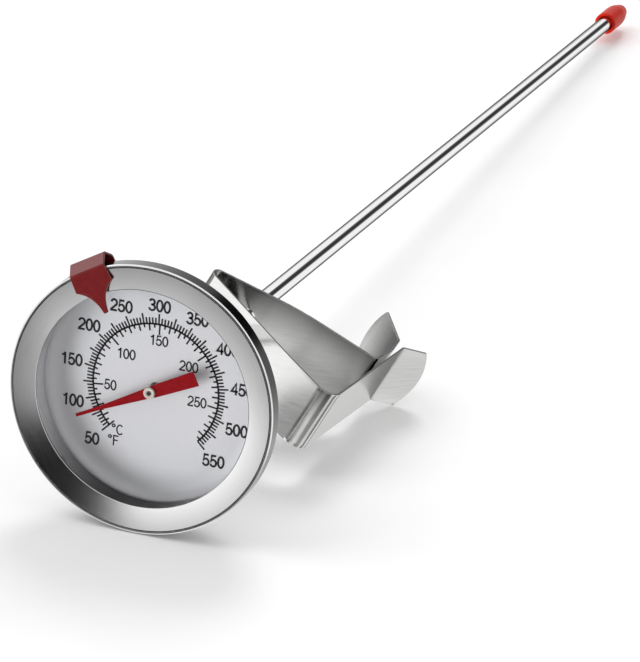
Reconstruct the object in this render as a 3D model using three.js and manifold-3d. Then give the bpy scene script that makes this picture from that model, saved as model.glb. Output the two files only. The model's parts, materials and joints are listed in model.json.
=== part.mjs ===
// Dial thermometer: a two inch dial on a twelve inch stem, with a rim marker, a pot clip and a tip cap.
// Millimetres. The origin is the centre of the stem's flat tip. +Y runs along the stem, from the dial
// to the tip, so the dial faces -Y; +Z is the top of the dial and +X its right-hand side.
// Inside the group, lengths along Y are measured from the front of the bezel.

import * as THREE from "three";
import { mergeVertices } from "three/addons/utils/BufferGeometryUtils.js";
import Module from "manifold-3d";

const wasm = await Module();
wasm.setup();

// ---- driving dimensions ----

// Head: a rolled bezel crimped over the flange of a pressed cup.
const RIM_RADIUS = 26.55;
const RIM_CREASE_RADIUS = 26.0;
const RIM_DEPTH = 3.45;
const OPENING_RADIUS = 21.48;
const OPENING_DEPTH = 0.59;
const SHEET = 0.4;
const GLASS_RADIUS = 25.2;
const GLASS_FRONT = 1.04;
const GLASS_THICKNESS = 1.2;
const GASKET_INNER_RADIUS = 23.4;
const FLANGE_FRONT = 2.62;
const CUP_RADIUS = 23.7;
const CUP_REAR_RADIUS = 22.85;
const CUP_SHOULDER = 6.85;
const CUP_BACK = 10.6;
const CUP_CORNER = 2.5;
const BOSS_RADIUS = 8.2;
const BOSS_RISE = 0.5;

// Dial: a pressed dish whose edge is held between the cup's shoulder and a retaining ring.
const DIAL_FACE = 7.8;
const DIAL_FLAT_RADIUS = 18.5;
const DIAL_LIP = 6.38;
const DIAL_LIP_RADIUS = 21.95;
const DIAL_RADIUS = 23.2;
const DIAL_HOLE_RADIUS = 1.2;
const RETAINER_INNER_RADIUS = 22.15;

// Stem: a twelve inch tube, open inside the case and plugged at the tip.
const TIP = 313.4;
const STEM_LENGTH = 304.8;
const STEM_RADIUS = 1.8;
const STEM_BORE = 1.4;
const PLUG_LENGTH = 2.0;
const SLIP = 0.03;

// Movement: a bimetal coil near the tip turns a long shaft that carries the pointer.
const SHAFT_RADIUS = 0.4;
const RUNNING_GAP = 0.05;
const SHAFT_FRONT = 4.32;
const SHAFT_END = 256.0;
const COIL_START = 256.6;
const COIL_PITCH = 2.2;
const COIL_TURNS = 22;
const COIL_RADIUS = 1.15;
const COIL_STRIP = 0.3;
const COIL_STRIP_WIDTH = 1.1;
const ANCHOR_START = 306.4;
const ANCHOR_END = 309.4;
const POINTER_PLANE = 5.0;
const NEEDLE_LENGTH = 16.45;
const TAIL_LENGTH = 10.1;
const NEEDLE_SHEET = 0.3;

// Scale: 270 degrees from 50 to 550 degrees Fahrenheit, with 300 at the top of the dial.
const DEGREES_PER_FAHRENHEIT = 0.54;
const READING = 85;
const MARKER_SETTING = 252;

// Rim marker: a folded slip that rides on the bezel.
const MARKER_HALF_WIDTH = 3.8;
const MARKER_FACE = -0.1;
const MARKER_SHEET = 0.4;
const MARKER_PIVOT = 24.0;
const MARKER_SKEW = -4;

// Pot clip: one folded strip that grips the stem with two holes and a pot's wall with its jaw.
const CLIP_WIDTH = 13.8;
const CLIP_SHEET = 0.45;
const CLIP_TURN = 28;
const CLIP_HOLE_RADIUS = 2.05;
const LIP_CROWN = 2.2;

// Tip cap: a soft sleeve with a round end and an air gap over the tip.
const CAP_MOUTH = 302.2;
const CAP_END = 316.2;
const CAP_RADIUS = 2.65;
const CAP_WALL_END = 0.7;
const CAP_ROUND = 3.3;

const HEAD_SIDES = 48;
const STEM_SIDES = 24;

// ---- materials ----

function finish(color, roughness, metalness) {
  return new THREE.MeshStandardMaterial({ color, roughness, metalness });
}

const brushedSteel = finish(0xb8b8b6, 0.3, 1.0);
const polishedSteel = finish(0xc8c8c8, 0.12, 1.0);
const springSteel = finish(0xa9a7a3, 0.25, 1.0);
const brass = finish(0xb8975a, 0.35, 1.0);
const bimetal = finish(0xa08c78, 0.4, 1.0);
const dialEnamel = finish(0xd2d2dc, 0.45, 0.0);
const clearGlass = finish(0xf2f6f6, 0.02, 0.0);
const sealRubber = finish(0x262626, 0.8, 0.0);
const pointerPaint = finish(0xa3151f, 0.4, 0.0);
const hubPlastic = finish(0xe6e0cf, 0.4, 0.0);
const markerPaint = finish(0x7c1a1e, 0.3, 0.2);
const capVinyl = finish(0xd8301c, 0.4, 0.0);

// ---- helpers ----

function radians(degrees) {
  return (degrees * Math.PI) / 180;
}

function dialTurn(fahrenheit) {
  return radians((fahrenheit - 300) * DEGREES_PER_FAHRENHEIT);
}

// Points on an ellipse's arc, from one angle to another in degrees.
function arc(x, y, radiusX, radiusY, from, to, steps) {
  const points = [];
  for (let i = 0; i <= steps; i += 1) {
    const angle = radians(from + ((to - from) * i) / steps);
    points.push([x + radiusX * Math.cos(angle), y + radiusY * Math.sin(angle)]);
  }
  return points;
}

// A solid of revolution about Y. The points are [radius, y] and start and end on the axis.
function turned(points, sides) {
  const profile = points.map(([radius, y]) => new THREE.Vector2(radius, y));
  return new THREE.LatheGeometry(profile, sides);
}

// A ring about Y, whose section closes on itself.
function ring(points, sides) {
  return turned([...points, points[0]], sides);
}

function plainRing(inner, outer, front, back, sides) {
  const section = [
    [inner, front],
    [outer, front],
    [outer, back],
    [inner, back],
  ];
  return ring(section, sides);
}

function disc(radius, front, back, sides) {
  const section = [
    [0, front],
    [radius, front],
    [radius, back],
    [0, back],
  ];
  return turned(section, sides);
}

function outline(points) {
  return new THREE.Shape(points.map(([x, y]) => new THREE.Vector2(x, y)));
}

// A flat sheet drawn in X and Z as seen from the dial's front, whose front face is at y = front.
function sheet(shape, front, thickness) {
  const options = { depth: thickness, bevelEnabled: false, curveSegments: 8 };
  const geometry = new THREE.ExtrudeGeometry(shape, options);
  geometry.rotateX(Math.PI / 2);
  return geometry.translate(0, front + thickness, 0);
}

// A bar whose section is drawn in X and Y, centred on Z.
function bar(shape, width) {
  const options = { depth: width, bevelEnabled: false, curveSegments: 8 };
  return new THREE.ExtrudeGeometry(shape, options).translate(0, 0, -width / 2);
}

function solid(geometry) {
  const bare = geometry.clone();
  bare.deleteAttribute("normal");
  bare.deleteAttribute("uv");
  const merged = mergeVertices(bare, 1e-4);
  const vertProperties = new Float32Array(merged.getAttribute("position").array);
  const triVerts = new Uint32Array(merged.index.array);
  return new wasm.Manifold(new wasm.Mesh({ numProp: 3, vertProperties, triVerts }));
}

function geometryOf(made) {
  const { numProp, vertProperties, triVerts } = made.getMesh();
  const geometry = new THREE.BufferGeometry();
  geometry.setAttribute("position", new THREE.BufferAttribute(vertProperties, numProp));
  geometry.setIndex(new THREE.BufferAttribute(triVerts, 1));
  geometry.computeVertexNormals();
  return geometry;
}

function piece(parent, name, geometry, material) {
  const mesh = new THREE.Mesh(geometry, material);
  mesh.name = name;
  parent.add(mesh);
}

// ---- head ----

function bezelRing() {
  const crimpFront = RIM_DEPTH - SHEET;
  const inside = RIM_RADIUS - SHEET;
  return ring(
    [
      [OPENING_RADIUS, OPENING_DEPTH],
      [RIM_CREASE_RADIUS, 0],
      ...arc(RIM_RADIUS - 0.55, 0.55, 0.55, 0.55, -70, 0, 4),
      ...arc(RIM_RADIUS - 0.45, RIM_DEPTH - 0.45, 0.45, 0.45, 0, 90, 3),
      [RIM_RADIUS - 2.35, RIM_DEPTH],
      [RIM_RADIUS - 2.35, crimpFront],
      [inside - 0.1, crimpFront],
      [inside, crimpFront - 0.1],
      [inside, 0.7],
      [inside - 0.25, 0.42],
      [OPENING_RADIUS + 0.22, OPENING_DEPTH + SHEET],
      [OPENING_RADIUS, OPENING_DEPTH + 0.3],
    ],
    HEAD_SIDES,
  );
}

function lensGasket() {
  const front = GLASS_FRONT + GLASS_THICKNESS + SLIP;
  return plainRing(GASKET_INNER_RADIUS, GLASS_RADIUS, front, FLANGE_FRONT - SLIP, HEAD_SIDES);
}

function retainingRing() {
  const front = GLASS_FRONT + GLASS_THICKNESS + 2 * SLIP;
  return plainRing(RETAINER_INNER_RADIUS, DIAL_RADIUS, front, DIAL_LIP - SLIP, HEAD_SIDES);
}

// A shallow dish with a round fillet up to its lip.
function dialPlate() {
  const rise = DIAL_FACE - DIAL_LIP;
  const run = DIAL_LIP_RADIUS - DIAL_FLAT_RADIUS;
  const front = arc(DIAL_FLAT_RADIUS, DIAL_LIP, run, rise, 90, 0, 4);
  const back = arc(DIAL_FLAT_RADIUS, DIAL_LIP + SHEET, run + SHEET, rise, 0, 90, 4);
  return ring(
    [
      [DIAL_HOLE_RADIUS, DIAL_FACE],
      ...front,
      [DIAL_RADIUS, DIAL_LIP],
      [DIAL_RADIUS, DIAL_LIP + SHEET],
      ...back,
      [DIAL_HOLE_RADIUS, DIAL_FACE + SHEET],
    ],
    HEAD_SIDES,
  );
}

// The pressed cup: a front flange, a stepped wall and a flat back with a raised boss for the stem.
function caseCup() {
  const cornerRadius = CUP_REAR_RADIUS - CUP_CORNER;
  const cornerFront = CUP_BACK - CUP_CORNER;
  const innerCorner = CUP_CORNER - SHEET;
  const boss = CUP_BACK + BOSS_RISE;
  const holeRadius = 2.62;
  return ring(
    [
      [CUP_RADIUS - SHEET, FLANGE_FRONT],
      [RIM_RADIUS - 0.65, FLANGE_FRONT],
      [RIM_RADIUS - 0.65, FLANGE_FRONT + SHEET],
      [CUP_RADIUS + 0.3, FLANGE_FRONT + SHEET],
      [CUP_RADIUS, FLANGE_FRONT + SHEET + 0.3],
      ...arc(CUP_RADIUS - 0.4, CUP_SHOULDER + 0.05, 0.4, 0.4, 0, 90, 2),
      ...arc(CUP_REAR_RADIUS + 0.3, CUP_SHOULDER + 0.75, 0.3, 0.3, -90, -180, 2),
      ...arc(cornerRadius, cornerFront, CUP_CORNER, CUP_CORNER, 0, 90, 3),
      [BOSS_RADIUS, CUP_BACK],
      [BOSS_RADIUS - 0.6, boss],
      [holeRadius, boss],
      [holeRadius, boss - SHEET],
      [BOSS_RADIUS - 0.8, boss - SHEET],
      [BOSS_RADIUS - 0.2, CUP_BACK - SHEET],
      ...arc(cornerRadius, cornerFront, innerCorner, innerCorner, 90, 0, 3),
      [CUP_REAR_RADIUS - SHEET, CUP_SHOULDER],
      [CUP_RADIUS - SHEET, CUP_SHOULDER],
    ],
    HEAD_SIDES,
  );
}

// A turned bush, staked through the cup's back, that holds the stem.
function stemFerrule() {
  const boss = CUP_BACK + BOSS_RISE;
  const bore = STEM_RADIUS + SLIP;
  const neck = 2.58;
  return ring(
    [
      [bore, boss - 1.8],
      [4.6, boss - 1.8],
      [4.6, boss - SHEET - 0.04],
      [neck, boss - SHEET - 0.04],
      [neck, boss + 0.04],
      [4.2, boss + 0.04],
      [4.2, boss + 1.3],
      [3.2, boss + 2.5],
      [bore, boss + 2.5],
    ],
    STEM_SIDES,
  );
}

// ---- stem and movement ----

function stemTube() {
  return plainRing(STEM_BORE, STEM_RADIUS, TIP - STEM_LENGTH, TIP, STEM_SIDES);
}

function shaftGuide(front, length) {
  const bore = SHAFT_RADIUS + RUNNING_GAP;
  return plainRing(bore, STEM_BORE - SLIP, front, front + length, STEM_SIDES);
}

// A helical ribbon: a straight bar, whose Z is an angle, wrapped round the Y axis.
function bimetalCoil() {
  const strip = outline([
    [COIL_RADIUS - COIL_STRIP, 0],
    [COIL_RADIUS, 0],
    [COIL_RADIUS, COIL_STRIP_WIDTH],
    [COIL_RADIUS - COIL_STRIP, COIL_STRIP_WIDTH],
  ]);
  const turn = 2 * Math.PI;
  const options = { depth: COIL_TURNS * turn, steps: COIL_TURNS * 8, bevelEnabled: false };
  const geometry = new THREE.ExtrudeGeometry(strip, options);
  const position = geometry.getAttribute("position");
  for (let i = 0; i < position.count; i += 1) {
    const radius = position.getX(i);
    const angle = position.getZ(i);
    const y = COIL_START + position.getY(i) + (COIL_PITCH * angle) / turn;
    position.setXYZ(i, radius * Math.sin(-angle), y, radius * Math.cos(-angle));
  }
  return geometry;
}

function coilCoupler() {
  const section = [
    [SHAFT_RADIUS + SLIP, SHAFT_END - 3.5],
    [1.1, SHAFT_END - 3.5],
    [1.1, SHAFT_END],
    [SHAFT_RADIUS + SLIP, SHAFT_END],
  ];
  return ring(section, STEM_SIDES);
}

function coilAnchor() {
  const section = [
    [0, ANCHOR_START - 0.4],
    [0.7, ANCHOR_START - 0.4],
    [STEM_BORE - SLIP, ANCHOR_START],
    [STEM_BORE - SLIP, ANCHOR_END],
    [0, ANCHOR_END],
  ];
  return turned(section, STEM_SIDES);
}

// ---- pointer ----

// A tapered needle with a broader tail, pointing along +Z, pierced for the hub's neck.
function pointerNeedle() {
  const blade = outline([
    [-1.2, -1.0],
    [-1.48, -TAIL_LENGTH],
    [1.48, -TAIL_LENGTH],
    [1.2, -1.0],
    [1.0, 1.2],
    [0.38, 11.0],
    [0.31, NEEDLE_LENGTH],
    [-0.31, NEEDLE_LENGTH],
    [-0.38, 11.0],
    [-1.0, 1.2],
  ]);
  const hole = new THREE.Path();
  hole.absarc(0, 0, 0.75, 0, 2 * Math.PI, true);
  blade.holes.push(hole);
  return sheet(blade, POINTER_PLANE - NEEDLE_SHEET / 2, NEEDLE_SHEET);
}

function pointerHub() {
  const bore = SHAFT_RADIUS + SLIP;
  const front = POINTER_PLANE - NEEDLE_SHEET / 2 - 0.02;
  const back = POINTER_PLANE + NEEDLE_SHEET / 2 + 0.02;
  return ring(
    [
      [bore, SHAFT_FRONT + 0.03],
      [1.05, SHAFT_FRONT + 0.03],
      [1.15, SHAFT_FRONT + 0.13],
      [1.15, front],
      [0.7, front],
      [0.7, back],
      [1.0, back],
      [1.0, back + 1.4],
      [0.75, back + 2.0],
      [bore, back + 2.0],
    ],
    STEM_SIDES,
  );
}

// ---- rim marker ----

// A shield-shaped front plate with a point, folded over the rim into a springy back leg.
// Drawn with +Z as its own radial direction.
function markerClip() {
  const fold = 26.48;
  const tip = 17.8;
  const plate = new THREE.Shape();
  plate.moveTo(-MARKER_HALF_WIDTH, fold);
  plate.lineTo(-4.0, 23.25);
  plate.quadraticCurveTo(-0.9, 21.7, -0.45, tip + 0.2);
  plate.quadraticCurveTo(-0.3, tip, 0, tip);
  plate.quadraticCurveTo(0.3, tip, 0.45, tip + 0.2);
  plate.quadraticCurveTo(0.9, 21.7, 4.0, 23.25);
  plate.lineTo(MARKER_HALF_WIDTH, fold);
  const front = solid(sheet(plate, MARKER_FACE - MARKER_SHEET, MARKER_SHEET));
  const middle = MARKER_FACE - MARKER_SHEET / 2;
  const path = [
    [fold - 1.0, middle, 0],
    [fold, middle, 0.3],
    [28.3, 2.0, 0.5],
    [26.9, 4.4, 0.5],
    [24.9, 4.5, 0],
  ];
  const leg = bar(foldedStrip(path, MARKER_SHEET), 2 * MARKER_HALF_WIDTH);
  leg.rotateY(-Math.PI / 2);
  const slip = geometryOf(front.add(solid(leg)));
  slip.translate(0, 0, -MARKER_PIVOT).rotateY(radians(MARKER_SKEW));
  return slip.translate(0, 0, MARKER_PIVOT);
}

// ---- folded sheet ----

// The section of a bent sheet that follows a path of [x, y, bend radius] points.
function foldedStrip(path, thickness) {
  const line = bentLine(path);
  const left = offsetLine(line, thickness / 2);
  const right = offsetLine(line, -thickness / 2);
  return outline([...right, ...left.reverse()]);
}

// The path as a polyline, with each corner rounded to its bend radius.
function bentLine(path) {
  const line = [new THREE.Vector2(path[0][0], path[0][1])];
  for (let i = 1; i < path.length - 1; i += 1) {
    const corner = new THREE.Vector2(path[i][0], path[i][1]);
    const before = new THREE.Vector2(path[i - 1][0], path[i - 1][1]).sub(corner).normalize();
    const after = new THREE.Vector2(path[i + 1][0], path[i + 1][1]).sub(corner).normalize();
    line.push(...roundedCorner(corner, before, after, path[i][2]));
  }
  const last = path[path.length - 1];
  line.push(new THREE.Vector2(last[0], last[1]));
  return line;
}

function roundedCorner(corner, before, after, radius) {
  if (radius === 0) {
    return [corner];
  }
  const halfAngle = Math.acos(THREE.MathUtils.clamp(before.dot(after), -1, 1)) / 2;
  const bisector = before.clone().add(after).normalize();
  const centre = corner.clone().addScaledVector(bisector, radius / Math.sin(halfAngle));
  const reach = radius / Math.tan(halfAngle);
  const start = corner.clone().addScaledVector(before, reach).sub(centre);
  const end = corner.clone().addScaledVector(after, reach).sub(centre);
  const sweep = Math.atan2(start.cross(end), start.dot(end));
  const steps = Math.max(1, Math.round(Math.abs(sweep) / radians(18)));
  const points = [];
  for (let i = 0; i <= steps; i += 1) {
    const spoke = start.clone().rotateAround(new THREE.Vector2(), (sweep * i) / steps);
    points.push(centre.clone().add(spoke));
  }
  return points;
}

// A polyline moved sideways to its left, with mitred corners.
function offsetLine(line, distance) {
  return line.map((point, i) => {
    const into = line[Math.max(i, 1)].clone().sub(line[Math.max(i, 1) - 1]).normalize();
    const next = Math.min(i + 1, line.length - 1);
    const out = line[next].clone().sub(line[next - 1]).normalize();
    const along = into.add(out).normalize();
    const mitre = distance / Math.max(0.5, along.dot(out));
    return [point.x - along.y * mitre, point.y + along.x * mitre];
  });
}

// ---- pot clip ----

// The strip's centre line, as [distance from the stem's axis, y, bend radius]: from the outer lip
// along the wall plate, up the front leg to the top fold, and down the bowed back leg to the jaw.
function clipPath() {
  return [
    [33.5, 77.3, 0],
    [28.0, 71.6, 0.8],
    [25.95, 34.2, 3.0],
    [13.9, 38.4, 60],
    [-9.3, 47.9, 1.8],
    [-8.7, 50.5, 1.6],
    [8.3, 57.5, 40],
    [25.9, 60.2, 1.1],
    [26.75, 67.0, 18],
    [26.2, 73.2, 0.8],
    [19.0, 82.3, 0],
  ];
}

// Everything outside the crowned end of a lip: drawn along the lip (X) and across it (Y).
function lipTrimmer(crownStart) {
  const half = CLIP_WIDTH / 2;
  const reach = half + 2;
  const rim = new THREE.Shape();
  rim.moveTo(crownStart, -half);
  rim.quadraticCurveTo(crownStart + 2 * LIP_CROWN, 0, crownStart, half);
  rim.lineTo(crownStart, reach);
  rim.lineTo(crownStart + 12, reach);
  rim.lineTo(crownStart + 12, -reach);
  rim.lineTo(crownStart, -reach);
  const options = { depth: 4, bevelEnabled: false, curveSegments: 16 };
  return new THREE.ExtrudeGeometry(rim, options).translate(0, 0, -2);
}

function placedTrimmer(bend, end, sides) {
  const along = new THREE.Vector3(end[0] - bend[0], end[1] - bend[1], 0);
  const length = along.length();
  along.normalize();
  const across = new THREE.Vector3(0, 0, 1);
  const normal = along.clone().cross(across);
  const place = new THREE.Matrix4().makeBasis(along, across, normal);
  place.setPosition(bend[0], bend[1], 0);
  return solid(lipTrimmer(length - sides).applyMatrix4(place));
}

function potClip() {
  const path = clipPath();
  const count = path.length;
  let clip = solid(bar(foldedStrip(path, CLIP_SHEET), CLIP_WIDTH));
  clip = clip.subtract(placedTrimmer(path[1], path[0], LIP_CROWN));
  clip = clip.subtract(placedTrimmer(path[count - 2], path[count - 1], LIP_CROWN));
  clip = clip.subtract(solid(disc(CLIP_HOLE_RADIUS, 30, 70, STEM_SIDES)));
  return geometryOf(clip);
}

// ---- tip cap ----

function tipCap() {
  const bore = STEM_RADIUS + SLIP;
  const floor = CAP_END - CAP_WALL_END;
  return turned(
    [
      [0, floor],
      [bore - 0.6, floor],
      [bore, floor - 0.6],
      [bore, CAP_MOUTH],
      [CAP_RADIUS, CAP_MOUTH],
      ...arc(0, CAP_END - CAP_ROUND, CAP_RADIUS, CAP_ROUND, 0, 80, 6),
      [0, CAP_END],
    ],
    STEM_SIDES,
  );
}

// ---- assembly ----

const group = new THREE.Group();

// Carries every piece, so that the pieces can be drawn from the bezel's front plane.
const thermometer = new THREE.Group();
thermometer.position.y = -TIP;
group.add(thermometer);

const glass = disc(GLASS_RADIUS, GLASS_FRONT, GLASS_FRONT + GLASS_THICKNESS, HEAD_SIDES);
const shaft = disc(SHAFT_RADIUS, SHAFT_FRONT, SHAFT_END, STEM_SIDES / 2);
const tipPlug = disc(STEM_BORE - SLIP, TIP - PLUG_LENGTH, TIP, STEM_SIDES);

piece(thermometer, "bezel_ring", bezelRing(), brushedSteel);
piece(thermometer, "lens", glass, clearGlass);
piece(thermometer, "lens_gasket", lensGasket(), sealRubber);
piece(thermometer, "dial_retaining_ring", retainingRing(), polishedSteel);
piece(thermometer, "dial_plate", dialPlate(), dialEnamel);
piece(thermometer, "case_cup", caseCup(), brushedSteel);
piece(thermometer, "stem_ferrule", stemFerrule(), polishedSteel);
piece(thermometer, "stem_tube", stemTube(), polishedSteel);
piece(thermometer, "stem_tip_plug", tipPlug, polishedSteel);
piece(thermometer, "shaft_guide_front", shaftGuide(9.0, 3.0), brass);
piece(thermometer, "shaft_guide_middle", shaftGuide(128.0, 3.0), brass);
piece(thermometer, "shaft_guide_rear", shaftGuide(246.0, 3.0), brass);
piece(thermometer, "bimetal_coil", bimetalCoil(), bimetal);
piece(thermometer, "coil_anchor", coilAnchor(), brass);
piece(thermometer, "tip_cap", tipCap(), capVinyl);

const pointer = new THREE.Group();
pointer.rotation.y = dialTurn(READING);
thermometer.add(pointer);
piece(pointer, "pointer_needle", pointerNeedle(), pointerPaint);
piece(pointer, "pointer_hub", pointerHub(), hubPlastic);
piece(pointer, "pointer_shaft", shaft, polishedSteel);
piece(pointer, "coil_coupler", coilCoupler(), brass);

const marker = new THREE.Group();
marker.rotation.y = dialTurn(MARKER_SETTING);
thermometer.add(marker);
piece(marker, "rim_marker", markerClip(), markerPaint);

const clipHolder = new THREE.Group();
clipHolder.rotation.y = radians(CLIP_TURN);
thermometer.add(clipHolder);
piece(clipHolder, "pot_clip", potClip(), springSteel);

export default group;
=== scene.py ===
# The looks of a dial thermometer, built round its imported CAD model.
# Shapes are drawn in millimetres, with y measured from the bezel's front plane along the stem.

import json
import math

import bmesh
import bpy
from mathutils import Matrix, Vector

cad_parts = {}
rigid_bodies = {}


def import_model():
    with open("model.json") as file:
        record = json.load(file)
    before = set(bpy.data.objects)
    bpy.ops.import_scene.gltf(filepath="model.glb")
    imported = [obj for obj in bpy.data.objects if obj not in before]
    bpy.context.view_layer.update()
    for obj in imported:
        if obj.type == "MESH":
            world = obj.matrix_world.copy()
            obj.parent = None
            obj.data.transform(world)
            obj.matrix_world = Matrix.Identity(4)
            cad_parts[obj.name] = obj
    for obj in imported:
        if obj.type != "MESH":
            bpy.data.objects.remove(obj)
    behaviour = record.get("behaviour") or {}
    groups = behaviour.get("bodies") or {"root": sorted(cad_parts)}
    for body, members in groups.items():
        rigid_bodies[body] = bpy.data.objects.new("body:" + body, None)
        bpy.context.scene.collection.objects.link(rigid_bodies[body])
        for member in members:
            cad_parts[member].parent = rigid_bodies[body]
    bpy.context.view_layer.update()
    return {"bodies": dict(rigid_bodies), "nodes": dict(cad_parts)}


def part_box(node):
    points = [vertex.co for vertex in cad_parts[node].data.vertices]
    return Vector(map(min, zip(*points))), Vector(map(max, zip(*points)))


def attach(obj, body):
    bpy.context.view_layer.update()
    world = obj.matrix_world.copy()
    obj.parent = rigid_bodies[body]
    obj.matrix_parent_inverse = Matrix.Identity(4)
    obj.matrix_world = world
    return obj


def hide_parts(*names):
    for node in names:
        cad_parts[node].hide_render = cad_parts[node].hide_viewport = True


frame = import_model()

MM = 0.001
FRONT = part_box("bezel_ring")[0].y
TIP = -FRONT / MM
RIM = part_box("bezel_ring")[1].x / MM
FILLET_STEP, BEND_STEP = 15, 4
CLIP_LEAN = math.radians(28)
scene = bpy.context.scene


# ---- profiles ----


def corner_arc(corner, before, after, radius, step):
    """The arc that rounds a corner between two directions, in steps of so many degrees."""
    before, after = before.normalized(), after.normalized()
    half = before.angle(after) / 2
    reach = radius / math.tan(half)
    centre = corner + (before + after).normalized() * (radius / math.sin(half))
    start = corner + before * reach - centre
    end = corner + after * reach - centre
    sweep = start.angle_signed(end)
    steps = max(2, math.ceil(abs(sweep) / math.radians(step)))
    return [centre + Matrix.Rotation(-sweep * i / steps, 2) @ start for i in range(steps + 1)]


def fillet_arc(corner, before, after, radius):
    """A profile's rounded corner, cut down where the sides are short."""
    half = before.angle(after) / 2
    if half > math.radians(89):
        return [corner]
    longest = 0.49 * min(before.length, after.length) * math.tan(half)
    return corner_arc(corner, before, after, min(radius, longest), FILLET_STEP)


def rounded(points, closed):
    """A line through (x, y, fillet radius) points, with its corners rounded."""
    line = []
    count = len(points)
    for i, (x, y, radius) in enumerate(points):
        corner = Vector((x, y))
        at_end = not closed and i in (0, count - 1)
        if radius == 0 or at_end:
            line.append(corner)
            continue
        before = Vector(points[i - 1][:2]) - corner
        after = Vector(points[(i + 1) % count][:2]) - corner
        line.extend(fillet_arc(corner, before, after, radius))
    return line


def arc_points(x, y, radius_x, radius_y, start, end, steps):
    """Points (x, y) along an ellipse's arc, its angles in degrees."""
    points = []
    for i in range(steps + 1):
        angle = math.radians(start + (end - start) * i / steps)
        points.append((x + radius_x * math.cos(angle), y + radius_y * math.sin(angle)))
    return points


# ---- meshes ----


def turn(x, z, angle):
    """Turns a point about the stem's axis, from +Z towards +X."""
    return x * math.cos(angle) + z * math.sin(angle), z * math.cos(angle) - x * math.sin(angle)


def add_piece(name, verts, faces, materials, body, nodes, bevel=0.0, sharp=None, face_slots=None):
    """Makes a mesh from millimetre points, and sets it on its body in place of its CAD nodes."""
    mesh = bpy.data.meshes.new(name)
    points = [(x * MM, FRONT + y * MM, z * MM) for x, y, z in verts]
    mesh.from_pydata(points, [], faces)
    for material in materials:
        mesh.materials.append(material)
    if face_slots:
        for polygon, index in zip(mesh.polygons, face_slots):
            polygon.material_index = index
    bm = bmesh.new()
    bm.from_mesh(mesh)
    bmesh.ops.recalc_face_normals(bm, faces=bm.faces)
    bm.to_mesh(mesh)
    bm.free()
    mesh.shade_smooth()
    if sharp:
        mesh.set_sharp_from_angle(angle=math.radians(sharp))
    piece = bpy.data.objects.new(name, mesh)
    scene.collection.objects.link(piece)
    if bevel:
        edges = piece.modifiers.new("edges", "BEVEL")
        edges.width = bevel * MM
        edges.segments = 2
        edges.limit_method = "ANGLE"
        edges.angle_limit = math.radians(50)
    normals = piece.modifiers.new("normals", "WEIGHTED_NORMAL")
    normals.keep_sharp = True
    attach(piece, body)
    if nodes:
        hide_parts(*nodes)
    return piece


def lathe(name, profile, closed, materials, body, nodes, sides=144, pick=None, sharp=None):
    """Turns a profile of (radius, y) points about the stem's axis. pick gives a face's material by its middle."""
    verts, rows, faces, picks = [], [], [], []
    for radius, y in profile:
        if radius < 1e-6:
            rows.append([len(verts)])
            verts.append((0, y, 0))
            continue
        rows.append(list(range(len(verts), len(verts) + sides)))
        for k in range(sides):
            spoke = 2 * math.pi * k / sides
            verts.append((radius * math.sin(spoke), y, radius * math.cos(spoke)))
    count = len(profile)
    for i in range(count if closed else count - 1):
        a, b = rows[i], rows[(i + 1) % count]
        middle = (Vector(profile[i]) + Vector(profile[(i + 1) % count])) / 2
        for k in range(sides):
            m = (k + 1) % sides
            if len(a) == 1 and len(b) == 1:
                continue
            if len(a) == 1:
                faces.append((a[0], b[k], b[m]))
            elif len(b) == 1:
                faces.append((a[k], b[0], a[m]))
            else:
                faces.append((a[k], b[k], b[m], a[m]))
            picks.append(pick(middle) if pick else 0)
    return add_piece(name, verts, faces, materials, body, nodes, sharp=sharp, face_slots=picks)


class BentLine:
    """A bent sheet's centre line: straight runs and arcs, read by the distance along it."""

    def __init__(self, path):
        self.points = [Vector(path[0][:2])]
        for i in range(1, len(path) - 1):
            corner = Vector(path[i][:2])
            before = Vector(path[i - 1][:2]) - corner
            after = Vector(path[i + 1][:2]) - corner
            self.points.extend(corner_arc(corner, before, after, path[i][2], BEND_STEP))
        self.points.append(Vector(path[-1][:2]))
        self.starts = [0.0]
        for a, b in zip(self.points, self.points[1:]):
            self.starts.append(self.starts[-1] + (b - a).length)
        self.length = self.starts[-1]

    def at(self, distance):
        """The point at a distance, and the unit normal on its left."""
        i = 0
        while i < len(self.points) - 2 and self.starts[i + 1] < distance:
            i += 1
        a, b = self.points[i], self.points[i + 1]
        run = self.starts[i + 1] - self.starts[i]
        share = (distance - self.starts[i]) / run
        point = a.lerp(b, share)
        normal = self.normal(i).lerp(self.normal(i + 1), share).normalized()
        return point, normal

    def normal(self, i):
        """The left normal at a corner, halfway between its two sides."""
        along = Vector((0, 0))
        if i > 0:
            along += (self.points[i] - self.points[i - 1]).normalized()
        if i < len(self.points) - 1:
            along += (self.points[i + 1] - self.points[i]).normalized()
        along.normalize()
        return Vector((-along.y, along.x))


def sheet_shell(flat, cells, bend, thickness):
    """A bent sheet from a flat net. flat holds (s, w) points, cells their faces, and bend maps them into space."""
    verts = []
    for side in (thickness / 2, -thickness / 2):
        verts.extend(bend(s, w, side) for s, w in flat)
    count = len(flat)
    faces = [tuple(cell) for cell in cells]
    faces += [tuple(i + count for i in reversed(cell)) for cell in cells]
    picks = [0] * len(faces)
    used = {}
    for cell in cells:
        for a, b in zip(cell, cell[1:] + cell[:1]):
            used[(a, b)] = True
    for a, b in used:
        if (b, a) not in used:
            faces.append((b, a, a + count, b + count))
            picks.append(1)
    return verts, faces, picks


# ---- materials ----

FINE_RELIEF = 0.02 * MM


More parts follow.
